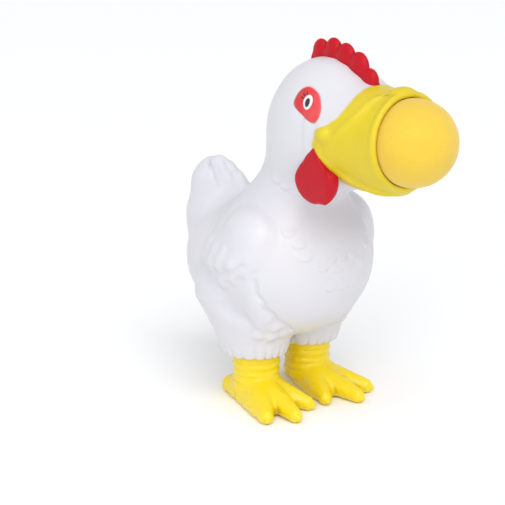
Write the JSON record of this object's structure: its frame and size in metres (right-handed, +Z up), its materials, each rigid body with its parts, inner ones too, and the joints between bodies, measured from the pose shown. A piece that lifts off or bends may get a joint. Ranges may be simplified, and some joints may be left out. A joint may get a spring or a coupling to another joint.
{
  "type": "squeeze-to-pop toy hen",
  "caption": "Hollow soft-vinyl standing hen with an open beak that holds a foam ball and pops it forward when its sides are squeezed.",
  "frame": {"origin": "on the floor, under the middle of the toy's overall box", "axes": "+Z up, -Y the way the beak points, +X towards the hen's own left side"},
  "size_m": [0.087, 0.1688, 0.1774],
  "materials": {
    "white_vinyl": "soft satin vinyl",
    "beak_vinyl": "sprayed satin paint on vinyl",
    "barrel_plastic": "matte moulded liner",
    "red_vinyl": "painted satin vinyl",
    "leg_vinyl": "glossy moulded vinyl",
    "ball_foam": "fine closed-cell foam"
  },
  "bodies": {
    "hen": {"body_shell": "white_vinyl", "beak": "beak_vinyl", "ball_barrel": "barrel_plastic", "comb": "red_vinyl", "wattle_left": "red_vinyl", "wattle_right": "red_vinyl", "leg_left": "leg_vinyl", "leg_right": "leg_vinyl"},
    "side_left": {"side_left": "white_vinyl"},
    "side_right": {"side_right": "white_vinyl"},
    "ball": {"foam_ball": "ball_foam"}
  },
  "joints": [
    {"name": "ball_pop", "type": "slide", "parent": "hen", "child": "ball", "axis": [0, -1, 0], "range_m": [0, 0.05]},
    {"name": "squeeze_left", "type": "slide", "parent": "hen", "child": "side_left", "axis": [-1, 0, 0], "range_m": [0, 0.01], "stiffness_N_per_m": 800},
    {"name": "squeeze_right", "type": "slide", "parent": "hen", "child": "side_right", "axis": [1, 0, 0], "range_m": [0, 0.01], "stiffness_N_per_m": 800}
  ],
  "couplings": [
    {"joint": "squeeze_right", "follows": "squeeze_left", "ratio": 1}
  ]
}
